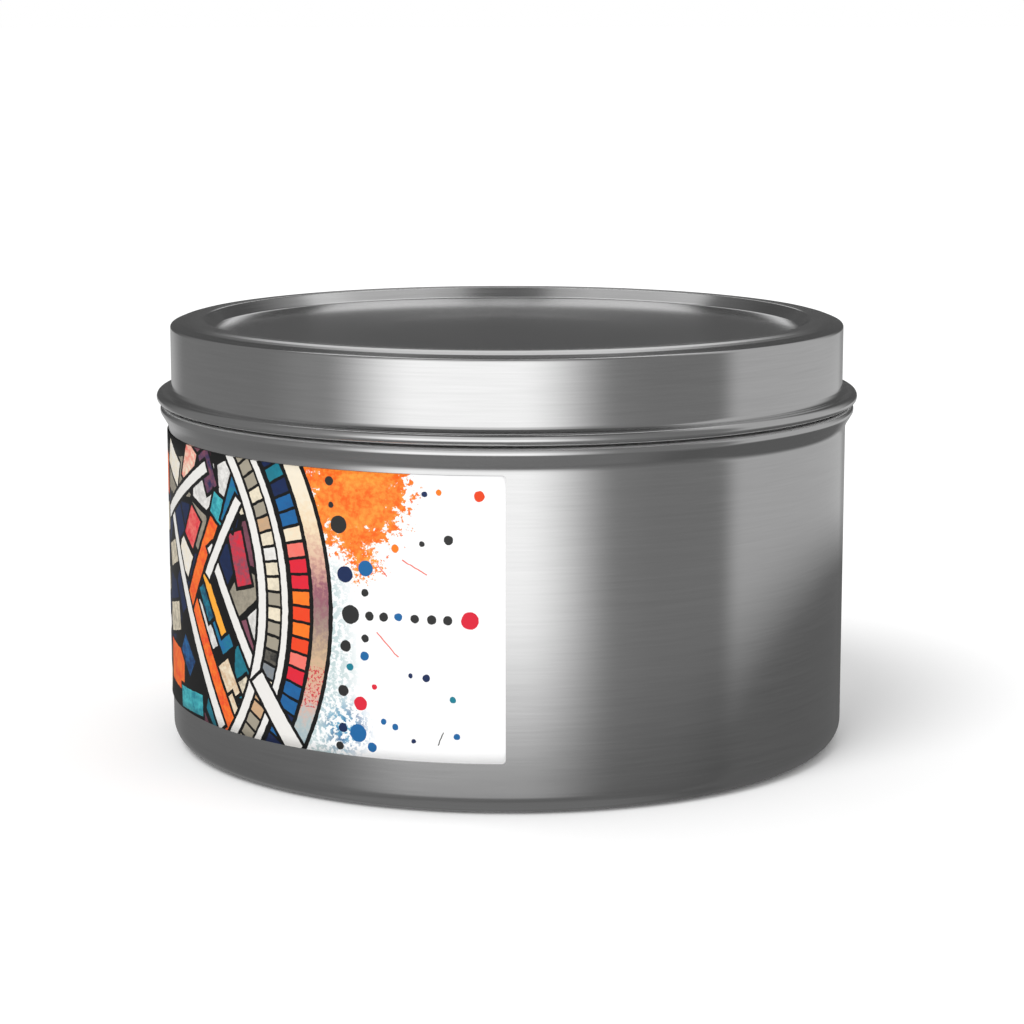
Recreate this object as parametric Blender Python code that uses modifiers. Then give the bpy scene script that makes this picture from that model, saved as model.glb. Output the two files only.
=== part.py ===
"""Candle tin: a drawn steel tin with a slip lid, a wax fill round a wick, and two labels.

Metres, +Z up. The origin is the centre of the base, on the surface that the tin stands on.
The front label is centred on -Y. Everything but the lid stays together, and the lid lifts off along +Z.
"""

import math

import bmesh
import bpy

MM = 0.001
COLLECTION = "candle_tin"

SEGMENTS = 60  # facets round every piece that is as wide as the tin, so that the facets line up
SMALL_SEGMENTS = 24  # facets round the wick, its sustainer and its sticker
ARC_STEP = 34.0  # degrees, the most that one facet of an arc turns
GAP = 0.3 * MM  # clearance between neighbours
SHEET = 0.25 * MM  # tinplate

# Tin body: a straight wall on a recessed base, with a stop bead and a narrower neck for the lid.
WALL_RADIUS = 38.68 * MM
BASE_CORNER = 2.4 * MM
BASE_RECESS = 1.0 * MM
REST_RING_WIDTH = 1.6 * MM  # from the end of the base corner to where the step up begins
TAPER_FOOT = 36.68 * MM  # height where the wall starts to lean out towards the bead
TAPER_LEAN = 31.0  # degrees from the wall's own direction
BEAD_RADIUS = 39.57 * MM
BEAD_TOP = 38.85 * MM
NECK_CLEARANCE = 0.3 * MM  # slip fit between the neck and the lid's skirt, on the radius
RIM_TOP = 47.6 * MM
RIM_CURL = 0.6 * MM  # outside radius of the safe edge that is rolled into the mouth

# Lid: heights are above its lowest point, the underside of its curl.
LID_SEAT = 39.13 * MM
LID_RADIUS = 38.3 * MM
LID_HEIGHT = 9.37 * MM
LID_CURL = 0.62 * MM  # outside radius of the edge that is rolled outwards
LID_CURL_REACH = 39.97 * MM
CURL_FILLET = 0.5 * MM
CROWN_RADIUS = 35.4 * MM  # the middle of the crown's narrow level top
CROWN_LEVEL = 1.4 * MM  # how wide that top is
CROWN_INNER_DROP = 0.15 * MM  # from the top to where the crown meets the panel's wall
CROWN_SHOULDER = 37.3 * MM  # radius and drop of the shoulder between the top and the lid's corner
SHOULDER_DROP = 0.28 * MM
CROWN_DROP = 0.68 * MM  # from the top to the lid's corner
LID_CORNER = 0.3 * MM
PANEL_RADIUS = 32.9 * MM
PANEL_DEPTH = 1.25 * MM  # of the panel's edge below the crown
PANEL_FILLET = 2.2 * MM
DISH_RADIUS = 16.0 * MM  # the panel is flat to here, and rises from here to its edge
DISH_RISE = 0.5 * MM

# Contents.
WAX_TOP = 36.0 * MM
WICK_RADIUS = 1.1 * MM
WICK_TOP = 42.3 * MM
STICKER_RADIUS = 9.0 * MM
STICKER_THICKNESS = 0.8 * MM
SUSTAINER_RADIUS = 10.0 * MM
SUSTAINER_NECK = 4.0 * MM  # height of the crimped neck above the disc
SUSTAINER_WALL = 0.35 * MM

# Labels.
LABEL_BOTTOM = 5.72 * MM
LABEL_TOP = 35.95 * MM
LABEL_FACETS = 26  # how many of the wall's facets the front label covers
LABEL_CORNER = 0.4 * MM
LABEL_THICKNESS = 0.15 * MM
LABEL_GAP = 0.05 * MM
BASE_LABEL_RADIUS = 25.0 * MM
BASE_LABEL_THICKNESS = 0.1 * MM

LID_INSIDE = LID_RADIUS - SHEET
NECK_RADIUS = LID_INSIDE - NECK_CLEARANCE
WALL_INSIDE = WALL_RADIUS - SHEET
FLOOR = BASE_RECESS + SHEET

STEEL = ("tin_steel", (0.62, 0.62, 0.61), 0.28, 1.0)
WAX = ("soy_wax", (0.92, 0.88, 0.78), 0.45, 0.0)
COTTON = ("waxed_cotton", (0.90, 0.87, 0.80), 0.85, 0.0)
PLATED = ("plated_steel", (0.70, 0.70, 0.70), 0.30, 1.0)
FOAM = ("adhesive_foam", (0.86, 0.86, 0.84), 0.90, 0.0)
LABEL_FILM = ("label_film", (0.93, 0.93, 0.92), 0.35, 0.0)
LABEL_PAPER = ("label_paper", (0.90, 0.90, 0.88), 0.60, 0.0)


def clear_scene():
    for old in list(bpy.data.objects):
        bpy.data.objects.remove(old, do_unlink=True)


def material(name, colour, roughness, metallic):
    found = bpy.data.materials.get(name)
    if found:
        return found
    made = bpy.data.materials.new(name)
    made.use_nodes = True
    made.diffuse_color = (*colour, 1.0)
    shader = made.node_tree.nodes["Principled BSDF"]
    shader.inputs["Base Color"].default_value = (*colour, 1.0)
    shader.inputs["Roughness"].default_value = roughness
    shader.inputs["Metallic"].default_value = metallic
    return made


def arc(centre, radius, start, end):
    """Points of an arc from one angle to another, in degrees from +X, including both ends."""
    steps = max(2, math.ceil(abs(end - start) / ARC_STEP))
    points = []
    for i in range(steps + 1):
        angle = math.radians(start + (end - start) * i / steps)
        points.append((centre[0] + radius * math.cos(angle), centre[1] + radius * math.sin(angle)))
    return points


def rounded(before, corner, after, radius):
    """The arc that rounds a corner between two straight stretches, as points."""
    to_before = math.atan2(before[1] - corner[1], before[0] - corner[0])
    to_after = math.atan2(after[1] - corner[1], after[0] - corner[0])
    turn = (to_after - to_before + math.pi) % (2 * math.pi) - math.pi
    middle = to_before + turn / 2
    reach = radius / math.sin(abs(turn) / 2)
    centre = (corner[0] + reach * math.cos(middle), corner[1] + reach * math.sin(middle))
    side = math.copysign(90.0, turn)
    start = math.degrees(to_before) - side
    swing = math.copysign(180.0 - math.degrees(abs(turn)), -turn)
    return arc(centre, radius, start, start + swing)


def outline(corners):
    """A profile from (radius, height, rounding) corners. The first and last keep their points."""
    points = [corners[0][:2]]
    for before, corner, after in zip(corners, corners[1:], corners[2:]):
        if corner[2]:
            points += rounded(before, corner, after, corner[2])
        else:
            points.append(corner[:2])
    points.append(corners[-1][:2])
    return points


def place(name, mesh, look, height=0.0):
    """A new object of the tin, on the tin's axis at this height."""
    obj = bpy.data.objects.new(name, mesh)
    mesh.materials.append(material(*look))
    obj.location.z = height
    obj.parent = bpy.data.objects[COLLECTION]
    bpy.data.collections[COLLECTION].objects.link(obj)
    return obj


def turned(name, profile, look, height=0.0, segments=SEGMENTS, closed=False, sheet=0.0):
    """A profile at +X, running down its outer side, turned about Z. A sheet gets its thickness inwards."""
    mesh = bpy.data.meshes.new(name)
    ends = [(i, i + 1) for i in range(len(profile) - 1)]
    if closed:
        ends.append((len(profile) - 1, 0))
    mesh.from_pydata([(radius, 0.0, z) for radius, z in profile], ends, [])
    obj = place(name, mesh, look, height)
    screw = obj.modifiers.new("turn", "SCREW")
    screw.steps = segments
    screw.render_steps = segments
    screw.use_merge_vertices = True
    screw.merge_threshold = 0.01 * MM
    screw.use_smooth_shade = True
    if sheet:
        solidify = obj.modifiers.new("sheet", "SOLIDIFY")
        solidify.thickness = sheet
        solidify.offset = -1.0
        solidify.use_even_offset = True
    return obj


def disc(name, radius, thickness, look, height, segments):
    """A flat round piece whose underside is at this height."""
    mesh = bpy.data.meshes.new(name)
    shape = bmesh.new()
    bmesh.ops.create_cone(
        shape, cap_ends=True, segments=segments, radius1=radius, radius2=radius, depth=thickness
    )
    shape.to_mesh(mesh)
    shape.free()
    mesh.shade_smooth()
    mesh.set_sharp_from_angle(angle=math.radians(30))
    return place(name, mesh, look, height + thickness / 2)


def tin_body():
    """One drawn cup: rolled rim, neck, stop bead, taper, wall and recessed base."""
    rim = arc((NECK_RADIUS - RIM_CURL, RIM_TOP - RIM_CURL), RIM_CURL, 270.0, 0.0)
    lean = math.tan(math.radians(TAPER_LEAN))
    bead_waist = TAPER_FOOT + (BEAD_RADIUS - WALL_RADIUS) / lean
    rest_edge = WALL_RADIUS - BASE_CORNER - REST_RING_WIDTH
    below = outline(
        [
            (NECK_RADIUS, RIM_TOP - RIM_CURL, 0.0),
            (NECK_RADIUS, BEAD_TOP, 0.4 * MM),
            (BEAD_RADIUS, BEAD_TOP, 0.5 * MM),
            (BEAD_RADIUS, bead_waist, 0.5 * MM),
            (WALL_RADIUS, TAPER_FOOT, 1.1 * MM),
            (WALL_RADIUS, 0.0, BASE_CORNER),
            (rest_edge, 0.0, 0.6 * MM),
            (rest_edge - BASE_RECESS, BASE_RECESS, 0.6 * MM),
            (0.0, BASE_RECESS, 0.0),
        ]
    )
    return turned("tin_body", rim[:-1] + below, STEEL, sheet=SHEET)


def lid():
    """One drawn cap: recessed panel, crowned rim, skirt and an edge rolled outwards."""
    curl_centre = (LID_CURL_REACH - LID_CURL, LID_CURL)
    flange = 2 * LID_CURL
    panel = LID_HEIGHT - PANEL_DEPTH
    level_inner = CROWN_RADIUS - CROWN_LEVEL / 2
    level_outer = CROWN_RADIUS + CROWN_LEVEL / 2
    wall_top = PANEL_RADIUS + PANEL_DEPTH - CROWN_INNER_DROP  # the panel's wall leans 45 degrees
    top = outline(
        [
            (0.0, panel - DISH_RISE, 0.0),
            (DISH_RADIUS, panel - DISH_RISE, 0.0),
            (PANEL_RADIUS, panel, PANEL_FILLET),
            (wall_top, LID_HEIGHT - CROWN_INNER_DROP, 0.0),
            (level_inner, LID_HEIGHT, 0.0),
            (level_outer, LID_HEIGHT, 0.0),
            (CROWN_SHOULDER, LID_HEIGHT - SHOULDER_DROP, 0.0),
            (LID_RADIUS, LID_HEIGHT - CROWN_DROP, LID_CORNER),
            (LID_RADIUS, flange, CURL_FILLET),
            (curl_centre[0], flange, 0.0),
        ]
    )
    curl = arc(curl_centre, LID_CURL, 90.0, -180.0)
    return turned("lid", top + curl[1:], STEEL, height=LID_SEAT, sheet=SHEET)


def wick_parts():
    """The sticker on the base, the sustainer on the sticker, and the wick that its neck holds."""
    sticker_z = FLOOR + GAP
    disc("wick_sticker", STICKER_RADIUS, STICKER_THICKNESS, FOAM, sticker_z, SMALL_SEGMENTS)
    sustainer_z = sticker_z + STICKER_THICKNESS + GAP
    bore = WICK_RADIUS + GAP
    neck = bore + SUSTAINER_WALL
    profile = outline(
        [
            (neck, SHEET + SUSTAINER_NECK, 0.0),
            (neck, SHEET, 0.5 * MM),
            (SUSTAINER_RADIUS, SHEET, 0.0),
            (SUSTAINER_RADIUS, 0.0, 0.0),
            (bore, 0.0, 0.0),
            (bore, SHEET + SUSTAINER_NECK, 0.0),
        ]
    )
    turned("wick_sustainer", profile, PLATED, sustainer_z, SMALL_SEGMENTS, closed=True)
    disc("wick", WICK_RADIUS, WICK_TOP - sustainer_z, COTTON, sustainer_z, SMALL_SEGMENTS)
    return sustainer_z


def wax_fill(sustainer_z):
    """The cast wax, hollow where the wick, the sustainer and the sticker are."""
    edge = WALL_INSIDE - GAP
    bottom = FLOOR + GAP
    disc_top = sustainer_z + SHEET + GAP
    neck_top = sustainer_z + SHEET + SUSTAINER_NECK + GAP
    bore = WICK_RADIUS + GAP
    neck_bore = bore + SUSTAINER_WALL + GAP
    disc_bore = SUSTAINER_RADIUS + GAP
    profile = outline(
        [
            (bore, WAX_TOP, 0.0),
            (edge, WAX_TOP, 0.4 * MM),
            (edge, bottom, 0.85 * MM),
            (disc_bore, bottom, 0.0),
            (disc_bore, disc_top, 0.0),
            (neck_bore, disc_top, 0.0),
            (neck_bore, neck_top, 0.0),
            (bore, neck_top, 0.0),
        ]
    )
    return turned("wax_fill", profile, WAX, closed=True)


def front_label():
    """A rectangle with rounded corners, wrapped round the front of the wall."""
    radius = WALL_RADIUS + LABEL_GAP + LABEL_THICKNESS
    facet = 2 * math.pi / SEGMENTS
    first = -math.pi / 2 - facet * LABEL_FACETS / 2
    middle = (LABEL_BOTTOM + LABEL_TOP) / 2
    half = (LABEL_TOP - LABEL_BOTTOM) / 2
    mesh = bpy.data.meshes.new("front_label")
    shape = bmesh.new()
    bmesh.ops.create_grid(shape, x_segments=LABEL_FACETS, y_segments=1, size=1.0)
    for vertex in shape.verts:
        across = (vertex.co.x + 1.0) / 2.0
        angle = first + facet * LABEL_FACETS * across
        vertex.co = (radius * math.cos(angle), radius * math.sin(angle), vertex.co.y * half)
    corners = [vertex for vertex in shape.verts if len(vertex.link_edges) == 2]
    bmesh.ops.bevel(
        shape, geom=corners, offset=LABEL_CORNER, segments=3, profile=0.5, affect="VERTICES"
    )
    shape.to_mesh(mesh)
    shape.free()
    mesh.shade_smooth()
    obj = place("front_label", mesh, LABEL_FILM, middle)
    solidify = obj.modifiers.new("film", "SOLIDIFY")
    solidify.thickness = LABEL_THICKNESS
    solidify.offset = -1.0
    solidify.use_even_offset = True
    return obj


def base_label():
    """A plain round label in the base's recess."""
    underside = BASE_RECESS - GAP - BASE_LABEL_THICKNESS
    return disc(
        "base_label", BASE_LABEL_RADIUS, BASE_LABEL_THICKNESS, LABEL_PAPER, underside, SEGMENTS
    )


def build():
    clear_scene()
    parts = bpy.data.collections.new(COLLECTION)
    bpy.context.scene.collection.children.link(parts)
    parts.objects.link(bpy.data.objects.new(COLLECTION, None))
    tin_body()
    lid()
    wax_fill(wick_parts())
    front_label()
    base_label()


build()
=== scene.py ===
"""Looks of the candle tin: brushed steel tin and lid, printed label, wax and wick, in a plain studio.

Metres, +Z up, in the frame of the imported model. The label is centred on -Y, and azimuths turn from
-Y to +X.
"""

import math

import bmesh
import bpy
import numpy as np
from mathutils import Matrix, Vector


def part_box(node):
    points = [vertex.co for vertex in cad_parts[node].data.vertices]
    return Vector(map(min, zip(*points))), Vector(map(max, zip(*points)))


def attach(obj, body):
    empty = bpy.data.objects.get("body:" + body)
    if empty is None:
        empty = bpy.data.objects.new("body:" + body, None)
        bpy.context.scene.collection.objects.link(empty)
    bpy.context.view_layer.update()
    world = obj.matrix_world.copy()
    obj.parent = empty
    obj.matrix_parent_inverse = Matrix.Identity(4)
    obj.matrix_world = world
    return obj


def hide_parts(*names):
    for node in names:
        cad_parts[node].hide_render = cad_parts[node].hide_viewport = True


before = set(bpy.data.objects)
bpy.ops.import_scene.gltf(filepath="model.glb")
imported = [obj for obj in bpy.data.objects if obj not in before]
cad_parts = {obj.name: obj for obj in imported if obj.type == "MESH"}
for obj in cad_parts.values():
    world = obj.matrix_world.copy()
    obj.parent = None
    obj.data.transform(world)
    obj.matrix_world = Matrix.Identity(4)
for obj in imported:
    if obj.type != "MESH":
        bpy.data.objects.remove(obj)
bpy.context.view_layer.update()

MM = 0.001

# Camera and studio.
CAMERA_AZIMUTH = 78.2
CAMERA_DISTANCE = 332.63 * MM  # from the tin's axis, level
CAMERA_HEIGHT = 82.58 * MM
CAMERA_PITCH = 9.72  # degrees below level
CAMERA_AIM = 0.1  # degrees to the right of the axis
LENS = 102.54
FLOOR_SIZE = 30.0
FLOOR_TONE = 0.93
DOME_RADIUS = 2.5
SKY_LEVEL = 0.88  # of the white surroundings as a light; the camera sees them at 1
KEY_LEVEL = 1.4
KEY_SPREAD = 27.0  # degrees across
KEY_ELEVATION = 53.0
KEY_AZIMUTH = -33.0  # from the camera, right positive

# Turned pieces.
SEGMENTS = 288
ARC_STEP = 7.0  # degrees
SUPPORT = 0.12 * MM  # length of the short stretch that keeps a flat's shading flat beside an arc
SHARP_TURN = 40.0
SLIGHT_TURN = 1.5  # degrees: a profile that turns less than this at a point is one smooth face there
SHEET = 0.25 * MM
NECK_CLEARANCE = 0.3 * MM


def top_of(node):
    """A node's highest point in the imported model."""
    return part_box(node)[1].z


def bottom_of(node):
    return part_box(node)[0].z


def radius_of(node):
    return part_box(node)[1].x


# ---------------------------------------------------------------- shapes


def arc(centre, radius, start, end):
    """Points of an arc from one angle to another, in degrees from +X, including both ends."""
    steps = max(3, math.ceil(abs(end - start) / ARC_STEP))
    angles = np.radians(np.linspace(start, end, steps + 1))
    return [(centre[0] + radius * math.cos(a), centre[1] + radius * math.sin(a)) for a in angles]


def rounded(before, corner, after, radius):
    """The arc that rounds a corner between two straight stretches, as points."""
    to_before = math.atan2(before[1] - corner[1], before[0] - corner[0])
    to_after = math.atan2(after[1] - corner[1], after[0] - corner[0])
    turn = (to_after - to_before + math.pi) % (2 * math.pi) - math.pi
    reach = radius / math.sin(abs(turn) / 2)
    middle = to_before + turn / 2
    centre = (corner[0] + reach * math.cos(middle), corner[1] + reach * math.sin(middle))
    start = math.degrees(to_before) - math.copysign(90.0, turn)
    swing = math.copysign(180.0 - math.degrees(abs(turn)), -turn)
    return arc(centre, radius, start, start + swing)


def outline(corners):
    """A profile from (radius, height, rounding) corners. The first and last keep their points."""
    points = [corners[0][:2]]
    for before, corner, after in zip(corners, corners[1:], corners[2:]):
        points += rounded(before, corner, after, corner[2]) if corner[2] else [corner[:2]]
    points.append(corners[-1][:2])
    return points


def supported(profile):
    """Adds a point near each bend that a long straight stretch ends in."""
    runs = np.diff(np.array(profile), axis=0)
    headings = np.degrees(np.arctan2(runs[:, 1], runs[:, 0]))
    turns = np.abs((np.diff(headings) + 180.0) % 360.0 - 180.0)
    bends = [False, *(turns > SLIGHT_TURN), False]
    made = [profile[0]]
    for i, (a, run) in enumerate(zip(profile, runs)):
        length = np.linalg.norm(run)
        step = run / length * SUPPORT
        b = profile[i + 1]
        if length > 4 * SUPPORT and bends[i]:
            made.append((a[0] + step[0], a[1] + step[1]))
        if length > 4 * SUPPORT and bends[i + 1]:
            made.append((b[0] - step[0], b[1] - step[1]))
        made.append(b)
    return made


def inner_side(profile, thickness):
    """The profile moved to its inner side, which is on its right as it runs down the outside."""
    points = np.array(profile)
    runs = np.diff(points, axis=0)
    runs /= np.linalg.norm(runs, axis=1)[:, None]
    before = np.vstack([runs[:1], runs])
    after = np.vstack([runs, runs[-1:]])
    middle = before + after
    middle /= np.linalg.norm(middle, axis=1)[:, None]
    spread = thickness / np.einsum("ij,ij->i", middle, before)
    inwards = np.stack([middle[:, 1], -middle[:, 0]], axis=1)
    moved = points + inwards * spread[:, None]
    moved[points[:, 0] == 0.0, 0] = 0.0
    return [tuple(point) for point in moved]


def sheet_profile(profile):
    """A closed profile of sheet metal, from its outer side."""
    outer = supported(profile)
    return outer + inner_side(outer, SHEET)[::-1]


def add_object(name, mesh, look):
    """Links a mesh to the scene, shaded smooth except where it turns sharply."""
    obj = bpy.data.objects.new(name, mesh)
    bpy.context.scene.collection.objects.link(obj)
    mesh.materials.append(look)
    mesh.shade_smooth()
    mesh.set_sharp_from_angle(angle=math.radians(SHARP_TURN))
    return obj


def turned(name, profile, look, segments=SEGMENTS, relief=None):
    """A closed profile at +X turned about Z. Points on the axis become one vertex.

    A relief is a function of the angle and the height that scales the radius.
    """
    mesh = bpy.data.meshes.new(name)
    shape = bmesh.new()
    turns = [2 * math.pi * i / segments for i in range(segments)]
    rings = []
    for radius, height in profile:
        if radius < 0.001 * MM:
            rings.append([shape.verts.new((0.0, 0.0, height))] * segments)
        else:
            ring = []
            for a in turns:
                reach = radius * relief(a, height) if relief else radius
                ring.append(shape.verts.new((reach * math.cos(a), reach * math.sin(a), height)))
            rings.append(ring)
    for a, b in zip(rings, rings[1:] + rings[:1]):
        for i in range(segments):
            j = (i + 1) % segments
            corners = list(dict.fromkeys([a[i], b[i], b[j], a[j]]))
            if len(corners) > 2:
                shape.faces.new(corners)
    bmesh.ops.recalc_face_normals(shape, faces=shape.faces)
    shape.to_mesh(mesh)
    shape.free()
    return add_object(name, mesh, look)


# ---------------------------------------------------------------- shader nodes


class Nodes:
    """Adds nodes to a tree, and returns their outputs."""

    def __init__(self, tree):
        self.tree = tree

    def put(self, kind, inputs=(), **settings):
        """A new node, with its settings, and its inputs set or linked."""
        node = self.tree.nodes.new(kind)
        for name, value in settings.items():
            setattr(node, name, value)
        for key, value in dict(inputs).items():
            self.feed(node.inputs[key], value)
        return node

    def feed(self, socket, value):
        """Links an output to the socket, or sets the socket's own value."""
        if isinstance(value, bpy.types.NodeSocket):
            self.tree.links.new(value, socket)
        elif value is not None:
            socket.default_value = value

    def maths(self, operation, *values):
        node = self.put("ShaderNodeMath", operation=operation)
        for socket, value in zip(node.inputs, values):
            self.feed(socket, value)
        return node.outputs[0]

    def vector(self, operation, *values):
        node = self.put("ShaderNodeVectorMath", operation=operation)
        for socket, value in zip(node.inputs, values):
            self.feed(socket, value)
        scalar = operation in ("DOT_PRODUCT", "LENGTH", "DISTANCE")
        return node.outputs["Value" if scalar else "Vector"]

    def ramp(self, value, low, high, at_low=0.0, at_high=1.0, smooth=True):
        """at_low below low, at_high above high, and a smooth or straight change between."""
        node = self.put("ShaderNodeMapRange", interpolation_type="SMOOTHSTEP" if smooth else "LINEAR")
        keys = ("Value", "From Min", "From Max", "To Min", "To Max")
        for key, number in zip(keys, (value, low, high, at_low, at_high)):
            self.feed(node.inputs[key], number)
        return node.outputs["Result"]

    def mix(self, share, a, b, blend="MIX"):
        """Colours a and b mixed by share."""
        node = self.put("ShaderNodeMix", data_type="RGBA", blend_type=blend)
        for socket, value in ((node.inputs[0], share), (node.inputs[6], a), (node.inputs[7], b)):
            self.feed(socket, value)
        return node.outputs[2]

    def mix_value(self, share, a, b):
        """Numbers a and b mixed by share."""
        node = self.put("ShaderNodeMix", data_type="FLOAT")
        for socket, value in ((node.inputs[0], share), (node.inputs[2], a), (node.inputs[3], b)):
            self.feed(socket, value)
        return node.outputs[0]

    def palette(self, value, stops, smooth=False):
        """Colours picked by a value from 0 to 1: in equal steps, or blended between even stops."""
        node = self.put("ShaderNodeValToRGB", {"Fac": value})
        node.color_ramp.interpolation = "LINEAR" if smooth else "CONSTANT"
        elements = node.color_ramp.elements
        while len(elements) < len(stops):
            elements.new(0.5)
        spans = len(stops) - 1 if smooth else len(stops)
        for i, stop in enumerate(stops):
            elements[i].position = i / spans
        for i, stop in enumerate(stops):
            elements[i].color = colour(*stop)
        return node.outputs["Color"]

    def grey(self, level):
        """A colour from one number."""
        parts = {"Red": level, "Green": level, "Blue": level}
        return self.put("ShaderNodeCombineColor", parts).outputs[0]

    def noise(self, vector, scale, detail=2.0, roughness=0.5, w=None):
        node = self.put("ShaderNodeTexNoise", noise_dimensions="3D" if w is None else "4D")
        inputs = {"Vector": vector, "Scale": scale, "Detail": detail, "Roughness": roughness}
        if w is not None:
            inputs["W"] = w
        for key, value in inputs.items():
            self.feed(node.inputs[key], value)
        return node.outputs["Fac"]

    def split(self, vector):
        """The vector's three numbers, by name."""
        return self.put("ShaderNodeSeparateXYZ", {"Vector": vector}).outputs

    def join(self, x, y, z=0.0):
        return self.put("ShaderNodeCombineXYZ", {"X": x, "Y": y, "Z": z}).outputs[0]


def new_material(name):
    """A material's Principled shader and its Nodes."""
    made = bpy.data.materials.new(name)
    made.use_nodes = True
    return made, made.node_tree.nodes["Principled BSDF"], Nodes(made.node_tree)


def colour(red, green, blue):
    """An sRGB colour out of 255 as a linear one."""
    linear = []
    for level in (red, green, blue):
        share = level / 255
        linear.append(share / 12.92 if share < 0.04045 else ((share + 0.055) / 1.055) ** 2.4)
    return (*linear, 1.0)


def bump(nodes, height, distance, strength):
    """Normals of a relief this deep."""
    inputs = {"Height": height, "Distance": distance, "Strength": strength}
    return nodes.put("ShaderNodeBump", inputs).outputs["Normal"]


# ---------------------------------------------------------------- steel


BRUSHED_TONE = (0.56, 0.64)  # from the darkest streak to the lightest
BRUSHED_ROUGHNESS = (0.14, 0.18)
PANEL_ROUGHNESS = 0.11
# Painted shade in the groove between the bead and the lid's curl: its tone, and how metallic it is.
GROOVE_SHADE_TONE = 0.48
GROOVE_SHADE_METALLIC = 0.05
BRUSHED_ANISOTROPY = 0.5


def steel(name, has_panel):
    """Tinplate brushed round its axis: fine streaks, and reflections drawn out across them."""
    made, shader, nodes = new_material(name)
    place = nodes.put("ShaderNodeTexCoord").outputs["Object"]
    level = nodes.vector("MULTIPLY", place, (1.0, 1.0, 0.0))
    away = nodes.split(nodes.vector("NORMALIZE", level))
    radius = nodes.vector("LENGTH", level)
    height = nodes.split(place)["Z"]

    def streaks(round_scale, across_scale, detail):
        """Noise with few features to a turn and many to a millimetre across the brushing."""
        x = nodes.maths("MULTIPLY", away["X"], round_scale)
        y = nodes.maths("MULTIPLY", away["Y"], round_scale)
        z = nodes.maths("MULTIPLY", radius, across_scale)
        w = nodes.maths("MULTIPLY", height, across_scale)
        return nodes.noise(nodes.join(x, y, z), 1.0, detail, 0.6, w)

    fine = streaks(5.0, 4200.0, 1.0)
    broad = streaks(2.2, 700.0, 2.0)
    patches = nodes.noise(place, 60.0, 3.0)
    streak = nodes.maths("ADD", nodes.maths("MULTIPLY", fine, 0.6), nodes.maths("MULTIPLY", broad, 0.4))
    shade = nodes.ramp(streak, 0.2, 0.8, *BRUSHED_TONE, smooth=False)
    rough = nodes.maths(
        "ADD",
        nodes.ramp(streak, 0.2, 0.8, *BRUSHED_ROUGHNESS, smooth=False),
        nodes.ramp(patches, 0.3, 0.7, -0.01, 0.01, smooth=False),
    )
    shader.inputs["Anisotropic"].default_value = BRUSHED_ANISOTROPY
    if has_panel:
        # The lid's panel is smoother than the turned faces round it.
        panel = nodes.maths(
            "MULTIPLY",
            nodes.ramp(radius, PANEL_RADIUS - 1.0 * MM, PANEL_RADIUS, 1.0, 0.0),
            nodes.maths("GREATER_THAN", height, LID_TOP - 3.0 * MM),
        )
        rough = nodes.mix_value(panel, rough, PANEL_ROUGHNESS)
        anisotropy = nodes.mix_value(panel, BRUSHED_ANISOTROPY, 0.0)
        nodes.feed(shader.inputs["Anisotropic"], anisotropy)
    nodes.feed(shader.inputs["Roughness"], rough)
    nodes.feed(shader.inputs["Normal"], bump(nodes, streak, 0.0015 * MM, 0.5))
    tangent = nodes.put("ShaderNodeTangent", direction_type="RADIAL", axis="Z")
    nodes.feed(shader.inputs["Tangent"], tangent.outputs[0])
    # Painted shade: the narrow groove between the bead and the lid's curl is made dull and dark, shade
    # painted into the crease.
    groove_shade = nodes.maths(
        "MULTIPLY",
        nodes.ramp(height, LID_SEAT - 0.5 * MM, LID_SEAT - 0.28 * MM),
        nodes.ramp(height, LID_SEAT + 0.03 * MM, LID_SEAT + 0.15 * MM, 1.0, 0.0),
    )
    nodes.feed(shader.inputs["Metallic"], nodes.mix_value(groove_shade, 1.0, GROOVE_SHADE_METALLIC))
    nodes.feed(shader.inputs["Base Color"], nodes.grey(nodes.mix_value(groove_shade, shade, GROOVE_SHADE_TONE)))
    shader.inputs["Anisotropic Rotation"].default_value = 0.25
    return made


# Lid, outside: a panel sunk in a rounded crown, a skirt, and an edge rolled outwards.
LID_SEAT = bottom_of("lid")
LID_TOP = top_of("lid")
LID_REACH = radius_of("lid")
LID_CURL = 0.62 * MM
CURL_REACH = 1.67 * MM  # how far the rolled edge stands out from the skirt
SKIRT_RADIUS = LID_REACH - CURL_REACH
CURL_FILLET = 0.6 * MM
CROWN_ARCH = 6.0 * MM
CROWN_RADIUS = 35.4 * MM
CROWN_END = 25.0  # degrees that the arch turns on its outer side
CROWN_START = 8.0  # and on its inner side
LID_CORNER = 0.33 * MM
PANEL_RADIUS = 33.25 * MM
PANEL_DEPTH = 1.25 * MM  # at its edge, below the crown
PANEL_FILLET = 0.35 * MM
DISH_START = 16.0 * MM  # the panel is flat to here and then rises a little towards its edge
DISH_RISE = 0.5 * MM
DISH_STEPS = 16


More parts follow.
